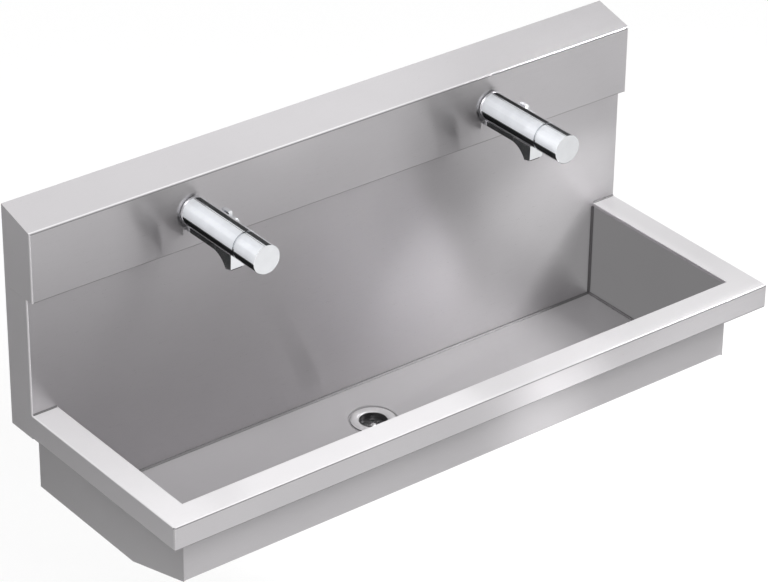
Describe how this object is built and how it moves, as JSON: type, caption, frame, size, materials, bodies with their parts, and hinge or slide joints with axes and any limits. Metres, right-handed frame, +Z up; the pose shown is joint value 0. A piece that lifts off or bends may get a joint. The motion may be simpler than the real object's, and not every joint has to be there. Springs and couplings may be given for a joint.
{
  "type": "trough sink",
  "caption": "Wall-hung stainless steel trough sink with a tall splashback, a service cover with a sloping top, and self-closing push taps with side temperature levers.",
  "frame": {"origin": "on the wall plane, at the height of the rim's top, midway along the trough", "axes": "+X to the right along the trough seen from the user's side, +Y into the wall, +Z up"},
  "size_m": [1.2, 0.448, 0.6162],
  "materials": {
    "sheet_steel": "satin, fine brushing along the length",
    "bracket_steel": "mill finish",
    "bright_steel": "bright, plain",
    "waste_steel": "polished",
    "tap_chrome": "mirror chrome plate",
    "brass_fittings": "machined brass",
    "copper_tube": "copper, slightly dulled",
    "black_rubber": "matt",
    "black_plastic": "matt",
    "grey_plastic": "moulded, matt"
  },
  "bodies": {
    "sink": {"bowl_floor": "sheet_steel", "bowl_front": "sheet_steel", "bowl_end_left": "sheet_steel", "bowl_end_right": "sheet_steel", "rim_frame": "sheet_steel", "splash_panel": "sheet_steel", "mounting_plates": "sheet_steel", "top_rail": "sheet_steel", "wall_bracket_left": "bracket_steel", "wall_bracket_right": "bracket_steel", "lower_rail": "bracket_steel", "back_ribs": "bracket_steel", "service_cover": "sheet_steel", "cover_ends": "sheet_steel", "cover_brackets": "bracket_steel", "cover_screws": "bright_steel", "waste_gasket_upper": "black_rubber", "waste_flange": "waste_steel", "waste_strainer": "waste_steel", "waste_screw": "bright_steel", "waste_gasket_lower": "black_rubber", "waste_cup": "grey_plastic", "waste_tail": "grey_plastic", "cold_pipe": "copper_tube", "hot_pipe": "copper_tube", "pipe_plugs": "brass_fittings", "pipe_clips": "black_plastic", "cold_inlet": "brass_fittings", "hot_inlet": "brass_fittings", "tail_nuts": "brass_fittings", "left_tap_body": "tap_chrome", "left_tap_gasket": "black_rubber", "left_tap_spacer": "bracket_steel", "left_tap_locknut": "brass_fittings", "left_tap_tails": "copper_tube", "left_tap_spout": "tap_chrome", "left_tap_aerator": "black_plastic", "left_tap_cartridge": "grey_plastic", "left_cartridge_ring": "brass_fittings", "left_cap_spring": "bright_steel", "right_tap_body": "tap_chrome", "right_tap_gasket": "black_rubber", "right_tap_spacer": "bracket_steel", "right_tap_locknut": "brass_fittings", "right_tap_tails": "copper_tube", "right_tap_spout": "tap_chrome", "right_tap_aerator": "black_plastic", "right_tap_cartridge": "grey_plastic", "right_cartridge_ring": "brass_fittings", "right_cap_spring": "bright_steel"},
    "left_cap": {"left_push_cap": "tap_chrome", "left_cap_stem": "bright_steel"},
    "left_lever": {"left_lever": "tap_chrome", "left_lever_screw": "bright_steel"},
    "right_cap": {"right_push_cap": "tap_chrome", "right_cap_stem": "bright_steel"},
    "right_lever": {"right_lever": "tap_chrome", "right_lever_screw": "bright_steel"}
  },
  "joints": [
    {"name": "left_cap_push", "type": "slide", "parent": "sink", "child": "left_cap", "axis": [0, 1, 0], "range_m": [0, 0.003], "stiffness_N_per_m": 2500, "springref_m": -0.004, "deforming": ["left_cap_spring"]},
    {"name": "left_lever_turn", "type": "hinge", "parent": "sink", "child": "left_lever", "pos_m": [-0.2705, -0.149, 0.2745], "axis": [1, 0, 0], "range_deg": [-45, 45]},
    {"name": "right_cap_push", "type": "slide", "parent": "sink", "child": "right_cap", "axis": [0, 1, 0], "range_m": [0, 0.003], "stiffness_N_per_m": 2500, "springref_m": -0.004, "deforming": ["right_cap_spring"]},
    {"name": "right_lever_turn", "type": "hinge", "parent": "sink", "child": "right_lever", "pos_m": [0.3295, -0.149, 0.2745], "axis": [1, 0, 0], "range_deg": [-45, 45]}
  ]
}
